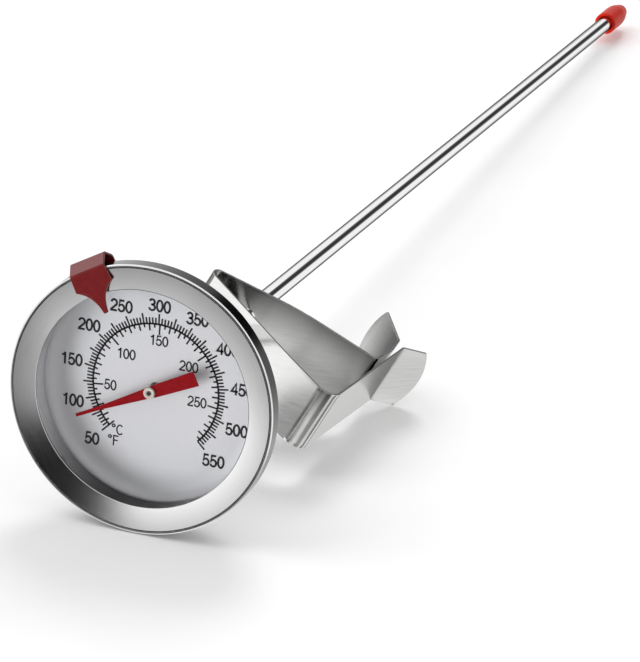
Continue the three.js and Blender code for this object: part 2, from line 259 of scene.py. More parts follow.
class Tree:
    """A material's node tree, built a node at a time."""

    def __init__(self, name):
        self.material = bpy.data.materials.new(name)
        self.material.use_nodes = True
        self.nodes = self.material.node_tree.nodes
        self.nodes.clear()
        self.output = self.nodes.new("ShaderNodeOutputMaterial")
        self.shader = self.nodes.new("ShaderNodeBsdfPrincipled")
        self.link(self.shader.outputs[0], self.output.inputs["Surface"])
        self.place = self.nodes.new("ShaderNodeTexCoord").outputs["Object"]

    def link(self, source, target):
        self.material.node_tree.links.new(source, target)

    def feed(self, socket, value):
        if isinstance(value, bpy.types.NodeSocket):
            self.link(value, socket)
        else:
            socket.default_value = value

    def math(self, operation, a, b=0.0):
        node = self.nodes.new("ShaderNodeMath")
        node.operation = operation
        self.feed(node.inputs[0], a)
        self.feed(node.inputs[1], b)
        return node.outputs[0]

    def parts(self, vector):
        node = self.nodes.new("ShaderNodeSeparateXYZ")
        self.link(vector, node.inputs[0])
        return node.outputs

    def vector(self, x, y, z):
        node = self.nodes.new("ShaderNodeCombineXYZ")
        for socket, value in zip(node.inputs, (x, y, z)):
            self.feed(socket, value)
        return node.outputs[0]

    def noise(self, vector, scale, detail=2.0):
        node = self.nodes.new("ShaderNodeTexNoise")
        self.link(vector, node.inputs["Vector"])
        node.inputs["Scale"].default_value = scale
        node.inputs["Detail"].default_value = detail
        return node.outputs["Fac"]

    def between(self, factor, low, high, start=0.0, end=1.0):
        """A value that runs from low to high while the factor runs from start to end."""
        node = self.nodes.new("ShaderNodeMapRange")
        self.feed(node.inputs["Value"], factor)
        node.inputs["From Min"].default_value = start
        node.inputs["From Max"].default_value = end
        node.inputs["To Min"].default_value = low
        node.inputs["To Max"].default_value = high
        return node.outputs[0]

    def colours(self, factor, stops):
        node = self.nodes.new("ShaderNodeValToRGB")
        self.link(factor, node.inputs[0])
        elements = node.color_ramp.elements
        while len(elements) < len(stops):
            elements.new(0.5)
        for element, (position, colour) in zip(elements, stops):
            element.position = position
            element.color = (*colour, 1.0)
        return node.outputs[0]

    def dot(self, vector, direction):
        """How far a vector goes along a direction."""
        node = self.nodes.new("ShaderNodeVectorMath")
        node.operation = "DOT_PRODUCT"
        self.link(vector, node.inputs[0])
        node.inputs[1].default_value = direction
        return node.outputs["Value"]

    def scaled(self, colour, share):
        """A colour dimmed by a share."""
        node = self.nodes.new("ShaderNodeVectorMath")
        node.operation = "SCALE"
        self.feed(node.inputs[0], colour)
        self.feed(node.inputs["Scale"], share)
        return node.outputs[0]

    def facing(self, blend):
        node = self.nodes.new("ShaderNodeLayerWeight")
        node.inputs["Blend"].default_value = blend
        return node.outputs["Facing"]

    def bump(self, height, strength, distance):
        node = self.nodes.new("ShaderNodeBump")
        node.inputs["Strength"].default_value = strength
        node.inputs["Distance"].default_value = distance
        self.link(height, node.inputs["Height"])
        self.link(node.outputs[0], self.shader.inputs["Normal"])

    def set(self, **values):
        names = {"colour": "Base Color", "metal": "Metallic", "rough": "Roughness", "coat": "Coat Weight"}
        names.update({"aniso": "Anisotropic", "tangent": "Tangent"})
        names.update({"specular": "Specular IOR Level", "edge": "Specular Tint"})
        for key, value in values.items():
            if isinstance(value, tuple):
                value = (*value, 1.0)
            self.feed(self.shader.inputs[names[key]], value)


def round_place(tree):
    """The distance from the stem's axis and the angle round it, for marks left by turning."""
    x, _, z = tree.parts(tree.place)
    radius = tree.math("SQRT", tree.math("ADD", tree.math("MULTIPLY", x, x), tree.math("MULTIPLY", z, z)))
    return radius, tree.math("ARCTAN2", x, z)


def circular_steel(name, low, high, rough, aniso, shade_outwards=None, shade_top_bottom=None, shade_patch=None):
    """Stainless steel brushed in circles round the dial, with painted shade in its colour where asked.

    shade_outwards is (radius, radius, share) in mm: painted shade that dulls it outwards. shade_top_bottom is the
    share left at its top and bottom, painted shade there. shade_patch is painted shade about one direction: (degrees
    from the top, full within, gone past, share, radius that it stays inside).
    """
    tree = Tree(name)
    radius, angle = round_place(tree)
    around = tree.vector(tree.math("MULTIPLY", radius, 14000.0), tree.math("MULTIPLY", angle, 5.0), 0.0)
    lines = tree.noise(around, 1.0)
    patches = tree.noise(tree.place, 90.0)
    shade = tree.math("ADD", tree.math("MULTIPLY", lines, 0.6), tree.math("MULTIPLY", patches, 0.4))
    colour = tree.colours(shade, [(0.3, low), (0.7, high)])
    # Painted shade, darker outwards.
    if shade_outwards:
        share = tree.between(radius, 1.0, shade_outwards[2], shade_outwards[0] * MM, shade_outwards[1] * MM)
        colour = tree.scaled(colour, share)
    # Painted shade, darker at the top and bottom.
    if shade_top_bottom:
        side = tree.math("POWER", tree.math("ABSOLUTE", tree.math("SINE", angle)), 3.0)
        colour = tree.scaled(colour, tree.between(side, shade_top_bottom, 1.0))
    # Painted shade about one direction.
    if shade_patch:
        centre, full, gone, share, reach = shade_patch
        turned = tree.math("COSINE", tree.math("SUBTRACT", angle, math.radians(centre)))
        amount = tree.between(turned, 0.0, 1.0, math.cos(math.radians(gone)), math.cos(math.radians(full)))
        inside = tree.between(radius, 1.0, 0.0, reach * MM, (reach + 0.05) * MM)
        colour = tree.scaled(colour, tree.between(tree.math("MULTIPLY", amount, inside), 1.0, share))
    tangent = tree.nodes.new("ShaderNodeTangent")
    tangent.direction_type = "RADIAL"
    tangent.axis = "Y"
    tree.set(colour=colour, metal=1.0, aniso=aniso, tangent=tangent.outputs[0])
    tree.set(rough=tree.between(lines, rough * 0.7, rough * 1.3))
    tree.bump(lines, 0.12, FINE_RELIEF)
    return tree.material


def polished_steel(name, colour, rough, stretch, outline_shade, fold_shade=None, crowned=None, painted_shades=()):
    """Bright steel with faint drawn lines, and painted shade that darkens it where it turns away from the view.

    stretch scales the grain on each axis, and outline_shade is where in the turn the painted darkening starts and
    ends.
    fold_shade is (reach in mm, share left in the tightest fold): painted shade in the folds of a sheet that mirrors
    itself. crowned is (unit vector across a strip, radius in mm), and rounds the strip across its width. Each of
    painted_shades is (facing direction, unit vector, start in mm, end in mm, share): painted shade on the side that
    faces one way, from start to end along the vector.
    """
    tree = Tree(name)
    grain_place = tree.vector(*(tree.math("MULTIPLY", v, k) for v, k in zip(tree.parts(tree.place), stretch)))
    grain = tree.noise(grain_place, 1.0)
    bright = tree.colours(grain, [(0.3, tuple(0.93 * c for c in colour)), (0.7, colour)])
    # Painted shade: the colour goes almost black towards the outline.
    turning = tree.between(tree.facing(0.5), 0.0, 1.0, *outline_shade)
    mix = tree.nodes.new("ShaderNodeMix")
    mix.data_type = "RGBA"
    tree.link(turning, mix.inputs["Factor"])
    tree.link(bright, mix.inputs["A"])
    mix.inputs["B"].default_value = (*(0.06 * c for c in colour), 1.0)
    shown = mix.outputs["Result"]
    # Painted shade in the folds, from the sheet's own occlusion.
    if fold_shade:
        reach, darkest = fold_shade
        fold = tree.nodes.new("ShaderNodeAmbientOcclusion")
        fold.only_local = True
        fold.samples = 12
        fold.inputs["Distance"].default_value = reach * MM
        shown = tree.scaled(shown, tree.between(fold.outputs["AO"], darkest, 1.0, 0.25, 0.8))
    # Painted shade on the faces turned one way.
    for direction, along, start, end, share in painted_shades:
        normal = tree.nodes.new("ShaderNodeNewGeometry").outputs["Normal"]
        faced = tree.between(tree.dot(normal, direction), 0.0, 1.0, 0.89, 0.94)
        travelled = tree.between(tree.dot(tree.place, along), 0.0, 1.0, start * MM, end * MM)
        shown = tree.scaled(shown, tree.between(tree.math("MULTIPLY", faced, travelled), 1.0, share))
    tree.set(colour=shown, metal=1.0, rough=tree.between(grain, rough * 0.8, rough * 1.2))
    # Painted shade in the specular tint too, dimming the sheen at the outline.
    tree.set(edge=tree.scaled((1.0, 1.0, 1.0), tree.between(turning, 1.0, 0.05)))
    if crowned:
        vector, radius = crowned
        across = tree.dot(tree.place, vector)
        height = tree.math("MULTIPLY", tree.math("MULTIPLY", across, across), 0.5 / (radius * MM))
        tree.bump(height, 1.0, 1.0)
    else:
        tree.bump(grain, 0.04, FINE_RELIEF / 2)
    return tree.material


def grained(name, low, high, rough, metal=0.0, scale=900.0, bump=0.1, **extra):
    """A plain surface with a fine grain in its colour, roughness and height."""
    tree = Tree(name)
    grain = tree.noise(tree.place, scale, 4.0)
    tree.set(colour=tree.colours(grain, [(0.3, low), (0.7, high)]), metal=metal)
    tree.set(rough=tree.between(grain, rough - 0.05, rough + 0.05), **extra)
    tree.bump(grain, bump, FINE_RELIEF)
    return tree.material


def window_glass(name):
    """A clear pane that only mirrors: what is behind it shows straight through."""
    tree = Tree(name)
    tree.nodes.remove(tree.shader)
    clear = tree.nodes.new("ShaderNodeBsdfTransparent")
    smears = tree.noise(tree.place, 60.0)
    tree.link(tree.colours(smears, [(0.2, (0.97, 0.98, 0.98)), (0.8, (0.99, 0.99, 0.99))]), clear.inputs[0])
    gloss = tree.nodes.new("ShaderNodeBsdfGlossy")
    tree.link(tree.between(smears, 0.02, 0.05), gloss.inputs["Roughness"])
    fresnel = tree.nodes.new("ShaderNodeFresnel")
    fresnel.inputs["IOR"].default_value = 1.3
    share = tree.math("MULTIPLY", fresnel.outputs[0], 0.5)
    mix = tree.nodes.new("ShaderNodeMixShader")
    tree.link(share, mix.inputs[0])
    tree.link(clear.outputs[0], mix.inputs[1])
    tree.link(gloss.outputs[0], mix.inputs[2])
    tree.link(mix.outputs[0], tree.output.inputs["Surface"])
    return tree.material


def grey(value):
    return (value, value, value)


# The bezel's face, with painted shade: darker towards its outer edge, and a painted dark line along its inner edge at
# the top right.
face_steel = circular_steel(
    "bezel_face_steel",
    grey(0.84),
    grey(0.94),
    0.115,
    0.5,
    shade_outwards=(21.5, 25.9, 0.68),
    shade_patch=(50, 60, 95, 0.12, 21.6),
)
rim_steel = circular_steel("rim_steel", grey(0.78), grey(0.88), 0.12, 0.3)
# The bezel's side: steel painted dark as shade for the dark it mirrors, with painted shade deepest at its top right.
painted_shade_side_steel = circular_steel("rim_side_steel", grey(0.17), grey(0.23), 0.16, 0.3, shade_patch=(46, 26, 58, 0.1, 27))
# Near-black steel: painted shade in the seam by the bead and along the window's inner edge.
seam_painted_shade = circular_steel("seam_painted_shade", grey(0.05), grey(0.09), 0.4, 0.0)
# The wall round the dial: painted shade darkens it at its top and bottom.
inner_wall_shaded_steel = circular_steel("inner_wall_steel", grey(0.92), grey(0.98), 0.14, 0.3, shade_top_bottom=0.07)
cup_steel = circular_steel("cup_steel", grey(0.34), grey(0.44), 0.18, 0.4)
# The stem: painted shade darkens its colour and sheen towards its outline.
stem_steel = polished_steel("stem_steel", grey(0.90), 0.07, (3000.0, 60.0, 3000.0), (0.69, 0.86))

CLIP_WIDTH = (math.sin(CLIP_LEAN), 0.0, math.cos(CLIP_LEAN))
LONG_FACE = (0.30, -0.93, -0.15)
INNER_LIP = (-0.683, -0.627, 0.375)
# The clip's spring steel, with painted shade: at its outline, in its folds, towards the upper edge of its long face
# and across its inner lip.
spring_steel = polished_steel(
    "spring_steel",
    (0.80, 0.80, 0.79),
    0.15,
    (300.0, 300.0, 2500.0),
    (0.96, 1.0),
    fold_shade=(19.0, 0.17),
    crowned=(CLIP_WIDTH, 70.0),
    painted_shades=(
        (LONG_FACE, CLIP_WIDTH, -0.5, 6.5, 0.3),
        (INNER_LIP, (0.0, 1.0, 0.0), FRONT / MM + 80.5, FRONT / MM + 74.5, 0.3),
    ),
)
# The strip's cut edges: dull sheared steel, darkened further with painted shade so they read as dark lines.
shaded_cut_steel = grained("sheared_edge_painted_shade", grey(0.10), (0.22, 0.22, 0.21), 0.45, metal=1.0, scale=2500.0)
dial_paint = grained(
    "dial_paint", (0.57, 0.56, 0.583), (0.61, 0.60, 0.623), 0.38, metal=0.15, scale=4000.0, bump=0.05
)
ink = grained("dial_ink", (0.008, 0.008, 0.010), (0.016, 0.016, 0.018), 0.5, scale=3000.0)
needle_paint = grained(
    "needle_paint", (0.18, 0.0015, 0.004), (0.22, 0.0025, 0.006), 0.38, scale=1500.0, specular=0.15
)
hub_cream = grained("hub_cream", (0.43, 0.37, 0.33), (0.52, 0.45, 0.41), 0.42, scale=1500.0)
marker_paint = grained(
    "marker_paint",
    (0.085, 0.002, 0.003),
    (0.11, 0.003, 0.004),
    0.3,
    scale=1200.0,
    bump=0.02,
    coat=0.3,
    specular=0.3,
)
vinyl = grained("cap_vinyl", (0.42, 0.010, 0.002), (0.50, 0.015, 0.003), 0.42, scale=700.0, specular=0.12)
nickel = grained("nickel_plated_brass", grey(0.44), grey(0.52), 0.4, metal=0.3, scale=1600.0)
brass = grained("turned_brass", (0.50, 0.36, 0.15), (0.62, 0.46, 0.21), 0.3, metal=1.0, scale=1600.0)
bimetal = grained("bimetal_strip", (0.36, 0.29, 0.23), (0.48, 0.40, 0.33), 0.38, metal=1.0, scale=1400.0)
seal = grained("seal_rubber", grey(0.012), grey(0.03), 0.75, scale=1800.0, bump=0.3)
glass = window_glass("window_glass")

hidden_finish = {
    "lens_gasket": seal,
    "shaft_guide_front": nickel,
    "shaft_guide_middle": brass,
    "shaft_guide_rear": brass,
    "coil_anchor": brass,
    "coil_coupler": brass,
    "bimetal_coil": bimetal,
    "pointer_shaft": stem_steel,
    "stem_tip_plug": stem_steel,
}
for node_name, material in hidden_finish.items():
    node = frame["nodes"][node_name]
    node.data.materials.clear()
    node.data.materials.append(material)


# ---- head ----


def bezel_part(middle):
    """Which steel a face of the bezel takes: its face, its bright edges, its side painted dark as shade, or the
    painted near-black shade of the seam by the bead and the window's inner edge.
    """
    if 25.83 < middle.x < 26.01 and middle.y < 0.3 or middle.x < 21.52:
        return 3
    if middle.x > 26.3 and middle.y > 0.55:
        return 2
    return 1 if middle.x > 25.88 or middle.y > 0.7 else 0


bezel_profile = rounded(
    [
        (21.48, 0.59, 0.12),
        (25.82, 0.02, 0.03),
        (25.92, 0.18, 0.02),
        (26.02, 0.0, 0.02),
        (26.55, 0.0, 0.5),
        (26.55, 3.45, 0.45),
        (24.2, 3.45, 0.08),
        (24.2, 3.05, 0.08),
        (26.1, 3.05, 0.1),
        (26.1, 0.45, 0.1),
        (21.7, 0.99, 0.05),
        (21.48, 0.89, 0.05),
    ],
    True,
)
lathe(
    "bezel",
    bezel_profile,
    True,
    [face_steel, rim_steel, painted_shade_side_steel, seam_painted_shade],
    "case",
    ["bezel_ring"],
    192,
    bezel_part,
)

pane = rounded([(0, 1.04, 0), (25.2, 1.04, 0.12), (25.2, 2.24, 0.12), (0, 2.24, 0)], False)
lathe("window", pane, False, [glass], "case", ["lens"])

retainer = rounded([(22.15, 2.31, 0.1), (23.2, 2.31, 0.1), (23.2, 6.35, 0.1), (22.15, 6.35, 0.45)], True)
lathe("retainer", retainer, True, [inner_wall_shaded_steel], "case", ["dial_retaining_ring"])

DISH_FLAT = 18.5
DISH_CURVE = 3.45
DISH_LIP = 6.38
DISH_DEPTH = 1.42
SHEET = 0.4
dish = [(1.2, DISH_LIP + DISH_DEPTH)]
dish += arc_points(DISH_FLAT, DISH_LIP, DISH_CURVE, DISH_DEPTH, 90, 0, 14)
dish += [(22.0, 6.36), (23.2, DISH_LIP), (23.2, DISH_LIP + SHEET), (22.4, DISH_LIP + SHEET)]
dish += arc_points(DISH_FLAT, DISH_LIP + SHEET, DISH_CURVE + SHEET, DISH_DEPTH, 0, 90, 14)
dish += [(1.2, DISH_LIP + DISH_DEPTH + SHEET)]
lathe("dial", dish, True, [dial_paint], "case", ["dial_plate"], sharp=40)

cup_outside = [(23.3, 2.62, 0), (25.9, 2.62, 0.05), (25.9, 3.02, 0.05), (23.7, 3.02, 0.3), (23.7, 7.3, 0.4)]
cup_outside += [(22.85, 7.3, 0.3), (22.85, 10.6, 2.4), (8.2, 10.6, 0.3), (7.6, 11.1, 0.3), (2.62, 11.1, 0)]
cup_inside = [(2.62, 10.7, 0), (7.4, 10.7, 0.2), (8.0, 10.2, 0.2), (22.45, 10.2, 2.0)]
cup_inside += [(22.45, 6.85, 0.1), (23.3, 6.85, 0.2)]
lathe("case_shell", rounded(cup_outside + cup_inside, True), True, [cup_steel], "case", ["case_cup"])

bush = [(1.83, 9.3, 0.1), (4.6, 9.3, 0.2), (4.6, 10.66, 0.2), (2.58, 10.66, 0), (2.58, 11.14, 0)]
bush += [(4.2, 11.14, 0.15), (4.2, 12.4, 0.25), (3.2, 13.6, 0.3), (1.83, 13.6, 0.15)]
lathe("ferrule", rounded(bush, True), True, [rim_steel], "case", ["stem_ferrule"], 96)

tube = rounded([(1.4, 8.6, 0.05), (1.8, 8.6, 0.1), (1.8, TIP, 0.15), (1.4, TIP, 0.02)], True)
lathe("stem", tube, True, [stem_steel], "case", ["stem_tube"], 96)


# ---- dial print ----

INK = 0.02
INK_BED = 0.005


def dial_front(radius):
    """The dial's front at a radius: flat, then a quarter of an oval up to its rim."""
    past_flat = max(0.0, radius - DISH_FLAT) / DISH_CURVE
    return DISH_LIP + DISH_DEPTH * math.sqrt(max(0.0, 1 - past_flat**2))


STROKES = {
    "0": [("loop", arc_points(0.29, 0.5, 0.235, 0.445, 0, 360, 28)[:-1])],
    "1": [("line", [(0.36, 0.0), (0.36, 1.0)]), ("line", [(0.40, 0.96), (0.28, 0.82), (0.11, 0.74)])],
    "2": [
        ("line", arc_points(0.29, 0.68, 0.23, 0.265, 170, -35, 14) + [(0.07, 0.13), (0.06, 0.055), (0.55, 0.055)]),
    ],
    "3": [
        ("line", arc_points(0.28, 0.735, 0.205, 0.215, 165, -90, 14) + [(0.2, 0.52)]),
        ("line", [(0.2, 0.525)] + arc_points(0.28, 0.29, 0.24, 0.235, 90, -170, 16)),
    ],
    "4": [("line", [(0.42, 0.0), (0.42, 0.94), (0.05, 0.29), (0.58, 0.29)])],
    "5": [
        (
            "line",
            [(0.51, 0.945), (0.155, 0.945), (0.085, 0.47)] + arc_points(0.28, 0.325, 0.24, 0.275, 138, -165, 18),
        ),
    ],
    "C": [("line", arc_points(0.36, 0.5, 0.30, 0.445, 42, 318, 22))],
    "F": [("line", [(0.10, 0.0), (0.10, 0.95), (0.56, 0.95)]), ("line", [(0.10, 0.52), (0.50, 0.52)])],
    "o": [("loop", arc_points(0.15, 0.82, 0.13, 0.13, 0, 360, 16)[:-1])],
}
ADVANCE = {"C": 0.8, "F": 0.66, "o": 0.42}
DIGIT = 0.63
ink_verts, ink_faces = [], []


def stroke(points, width, loop):
    """Adds a printed line of even width through points (x, z) on the dial's face."""
    line = [Vector(p) for p in points]
    count = len(line)
    base = len(ink_verts)
    for i, point in enumerate(line):
        before = line[i - 1] if loop or i > 0 else None
        after = line[(i + 1) % count] if loop or i < count - 1 else None
        into = (point - before).normalized() if before is not None else (after - point).normalized()
        out = (after - point).normalized() if after is not None else into
        along = (into + out).normalized()
        reach = width / 2 / max(0.5, along.dot(out))
        side = Vector((-along.y, along.x)) * reach
        for edge in (point + side, point - side):
            face = dial_front(edge.length) - INK_BED
            ink_verts.append((edge.x, face - INK, edge.y))
            ink_verts.append((edge.x, face, edge.y))
    for i in range(count if loop else count - 1):
        a, b = base + 4 * i, base + 4 * ((i + 1) % count)
        ink_faces.append((a, a + 2, b + 2, b))
        ink_faces.append((a + 1, b + 1, b + 3, a + 3))
        ink_faces.append((a, b, b + 1, a + 1))
        ink_faces.append((a + 2, a + 3, b + 3, b + 2))
    if not loop:
        end = base + 4 * (count - 1)
        ink_faces.append((base, base + 1, base + 3, base + 2))
        ink_faces.append((end, end + 2, end + 3, end + 1))


def text(words, x, z, height, width):
    """Prints words of the stroke alphabet, centred on (x, z)."""
    span = sum(ADVANCE.get(c, DIGIT) for c in words) - 0.05
    pen = x - span * height / 2
    for c in words:
        for kind, points in STROKES[c]:
            placed = [(pen + px * height, z + (pz - 0.5) * height) for px, pz in points]
            stroke(placed, width, kind == "loop")
        pen += ADVANCE.get(c, DIGIT) * height


def dial_angle(fahrenheit):
    """The scale's angle from the top of the dial, clockwise: 500 degrees of heat over 270 degrees of turn."""
    return math.radians((fahrenheit - 300) * 270 / 500)


def fahrenheit_of(celsius):
    return celsius * 1.8 + 32


def tick(fahrenheit, inner, outer, width):
    angle = dial_angle(fahrenheit)
    ends = [(math.sin(angle) * r, math.cos(angle) * r) for r in (inner, outer)]
    stroke(ends, width, False)


SCALE_RADIUS = 12.75
TICK = 0.34
ends = [90 - math.degrees(dial_angle(f)) for f in (50, 550)]
stroke(arc_points(0, 0, SCALE_RADIUS, SCALE_RADIUS, ends[0], ends[1], 180), 0.38, False)
for fahrenheit in range(50, 551, 5):
    tick(fahrenheit, SCALE_RADIUS, 14.8 if fahrenheit % 25 == 0 else 14.0, TICK)
for fahrenheit in range(50, 551, 50):
    angle = dial_angle(fahrenheit)
    radius = 16.4 + 1.15 * math.sin(min(abs(angle), math.pi / 2))
    text(str(fahrenheit), math.sin(angle) * radius, math.cos(angle) * radius, 2.4, 0.42)
for celsius in range(10, 290, 5):
    inner = 10.7 if celsius % 50 == 0 else 11.4 if celsius % 10 == 0 else 12.0
    tick(fahrenheit_of(celsius), inner, SCALE_RADIUS, TICK)
for celsius in range(50, 251, 50):
    angle = dial_angle(fahrenheit_of(celsius))
    half_width = 1.9 if celsius >= 100 else 1.25
    radius = 10.6 - half_width * abs(math.sin(angle)) - 1.03 * abs(math.cos(angle))
    text(str(celsius), math.sin(angle) * radius, math.cos(angle) * radius, 2.05, 0.31)
text("oC", -7.2, -9.7, 2.1, 0.28)
text("oF", -8.0, -12.0, 2.1, 0.28)
add_piece("dial_print", ink_verts, ink_faces, [ink], "case", [])


# ---- pointer ----

READING = 85
pointer_angle = dial_angle(READING)
blade = [(-1.2, -1.0), (-1.48, -10.1), (1.48, -10.1), (1.2, -1.0), (1.0, 1.2)]
blade += [(0.38, 11.0), (0.31, 16.45), (-0.31, 16.45), (-0.38, 11.0), (-1.0, 1.2)]
needle_verts = []
for y in (4.85, 5.15):
    for x, z in blade:
        turned_x, turned_z = turn(x, z, pointer_angle)
        needle_verts.append((turned_x, y, turned_z))
count = len(blade)
needle_faces = [tuple(range(count)), tuple(range(2 * count - 1, count - 1, -1))]
needle_faces += [(i, i + count, (i + 1) % count + count, (i + 1) % count) for i in range(count)]
add_piece(
    "needle", needle_verts, needle_faces, [needle_paint], "pointer", ["pointer_needle"], bevel=0.06
)

button = [(0.43, 4.55, 0.05), (0.62, 4.37, 0.05), (1.15, 4.35, 0.15), (1.15, 4.83, 0.03), (0.7, 4.83, 0)]
button += [(0.7, 5.17, 0), (1.0, 5.17, 0.05), (1.0, 6.57, 0.15), (0.75, 7.17, 0.1), (0.43, 7.17, 0.02)]
lathe("hub", rounded(button, True), True, [hub_cream], "pointer", ["pointer_hub"], 64)


# ---- rim marker ----


def marker():
    """A shield-shaped plate with a point, folded over the rim into a short back leg."""
    thickness = 0.4
    line = BentLine([(17.8, -0.3), (26.48, -0.3, 0.3), (28.3, 2.0, 0.5), (26.9, 4.4, 0.5), (24.9, 4.5)])
    stations = [(0.0, 0.2), (0.05, 0.33), (0.12, 0.42)]
    for i in range(13):
        t = i / 12
        radius = (1 - t) ** 2 * 18.0 + 2 * t * (1 - t) * 21.7 + t * t * 23.25
        half = (1 - t) ** 2 * 0.45 + 2 * t * (1 - t) * 0.9 + t * t * 4.0
        stations.append((radius - 17.8, half))
    stations.append((7.0, 3.9))
    corner = line.starts[1]
    stations.append((corner, 3.8))
    stations += [(s, 3.8) for s in line.starts[2:]]
    across = [-1.0, -0.6, -0.2, 0.2, 0.6, 1.0]
    flat = [(s, half * v) for s, half in stations for v in across]
    cells = []
    wide = len(across)
    for i in range(len(stations) - 1):
        for j in range(wide - 1):
            a = i * wide + j
            cells.append([a, a + 1, a + 1 + wide, a + wide])
    skew = math.radians(-4)
    setting = dial_angle(252)

    def bend(s, w, side):
        point, normal = line.at(s)
        point = point + normal * side
        x, z = turn(w, point.x - 24.0, skew)
        x, z = turn(x, z + 24.0, setting)
        return x, point.y, z

    verts, faces, picks = sheet_shell(flat, cells, bend, thickness)
    paints = [marker_paint, marker_paint]
    add_piece(
        "marker", verts, faces, paints, "rim_marker", ["rim_marker"], bevel=0.07, face_slots=picks
    )


marker()


# ---- pot clip ----

HOLE_RADIUS = 2.05


def pot_clip():
    """One strip of spring steel, folded from the outer lip to the inner one, with two holes for the stem."""
    half, thickness, crown = 6.9, 0.45, 2.2
    line = BentLine(
        [
            (33.5, 77.3),
            (28.0, 71.6, 0.8),
            (25.95, 34.2, 3.0),
            (13.9, 38.4, 60),
            (-9.3, 47.9, 1.8),
            (-8.7, 50.5, 1.6),
            (8.3, 57.5, 40),
            (25.9, 60.2, 1.1),
            (26.75, 67.0, 18),
            (26.2, 73.2, 0.8),
            (19.0, 82.3),
        ]
    )
    hole_reach = 3.4
    holes = axis_crossings(line)
    stations = clip_stations(line, holes, hole_reach)
    inner = [hole_reach * k / 4 for k in range(-4, 5)]
    across = [-half, -6.0, -5.0, -4.2] + inner + [4.2, 5.0, 6.0, half]
    first_bend = line.starts[1]
    last_bend = line.starts[-2]

    def settle(s, w):
        """Draws the ends in to the lips' crowned outline."""
        inset = crown * (w / half) ** 2
        if s < first_bend:
            return s + inset * (1 - s / first_bend)
        if s > last_bend:
            return s - inset * (s - last_bend) / (line.length - last_bend)
        return s

    wide = len(across)
    flat = [(settle(s, w), w) for s in stations for w in across]
    cells = []
    for i in range(len(stations) - 1):
        for j in range(wide - 1):
            middle_s = (stations[i] + stations[i + 1]) / 2
            middle_w = (across[j] + across[j + 1]) / 2
            if abs(middle_w) < hole_reach and any(abs(middle_s - h) < hole_reach for h, _ in holes):
                continue
            a = i * wide + j
            cells.append([a, a + 1, a + 1 + wide, a + wide])
    for centre, stretch in holes:
        pierce(flat, cells, stations, across, centre, stretch, hole_reach)

    def bend(s, w, side):
        point, normal = line.at(s)
        point = point + normal * side
        x, z = turn(point.x, w, CLIP_LEAN)
        return x, point.y, z

    verts, faces, picks = sheet_shell(flat, cells, bend, thickness)
    steels = [spring_steel, shaded_cut_steel]
    add_piece("clip", verts, faces, steels, "pot_clip", ["pot_clip"], bevel=0.05, face_slots=picks)


def axis_crossings(line):
    """Where the line crosses the stem's axis, each with the stretch of a round hole seen along the stem."""
    found = []
    for i, (a, b) in enumerate(zip(line.points, line.points[1:])):
        if a.x * b.x < 0:
            share = a.x / (a.x - b.x)
            along = (b - a).normalized()
            found.append((line.starts[i] + share * (b - a).length, 1 / abs(along.x)))
    return found


def clip_stations(line, holes, reach):
    """Distances along the strip: every bend's steps, even steps on the lips and round the holes."""
    stations = {round(s, 4) for s in line.starts}
    for k in range(1, 8):
        stations.add(round(line.starts[1] * k / 8, 4))
        stations.add(round(line.starts[-2] + (line.length - line.starts[-2]) * k / 8, 4))
    for centre, _ in holes:
        stations = {s for s in stations if abs(s - centre) > reach + 0.1}
        stations |= {round(centre + reach * k / 4, 4) for k in range(-4, 5)}
    return sorted(stations)


def pierce(flat, cells, stations, across, centre, stretch, reach):
    """Fills the square round a hole with rings that run from the square to the hole's oval edge."""
    wide = len(across)
    rows = [i for i, s in enumerate(stations) if abs(s - centre) < reach + 0.01]
    columns = [j for j, w in enumerate(across) if abs(w) < reach + 0.01]
    border = [(rows[0], j) for j in columns]
    border += [(i, columns[-1]) for i in rows[1:]]
    border += [(rows[-1], j) for j in reversed(columns[:-1])]
    border += [(i, columns[0]) for i in reversed(rows[1:-1])]
    ring = [i * wide + j for i, j in border]
    hole_w = HOLE_RADIUS
    hole_s = HOLE_RADIUS * stretch + 0.1
    for share in (0.45, 0.8, 1.0):
        inner = []
        for i, j in border:
            ds, dw = stations[i] - centre, across[j]
            angle = math.atan2(dw, ds)
            oval = (hole_s * math.cos(angle), hole_w * math.sin(angle))
            inner.append(len(flat))
            flat.append((centre + ds + (oval[0] - ds) * share, dw + (oval[1] - dw) * share))
        for k in range(len(ring)):
            m = (k + 1) % len(ring)
            cells.append([ring[k], ring[m], inner[m], inner[k]])
        ring = inner


pot_clip()


# ---- tip cap ----

CAP_END = 316.2
sleeve = [(0, CAP_END - 0.7), (1.23, CAP_END - 0.7), (1.75, CAP_END - 0.95), (1.83, CAP_END - 1.3)]
sleeve += [(1.83, 302.4), (1.93, 302.2), (2.5, 302.2), (2.62, 302.35)]
sleeve += arc_points(0, CAP_END - 7.0, 2.65, 7.0, 0, 90, 20)
lathe("cap", sleeve, False, [vinyl], "tip_cap", ["tip_cap"], 72)


# ---- stage ----


CLIP_FOOT = (73.8, 5.3)
FLOOR_GAP = 0.15


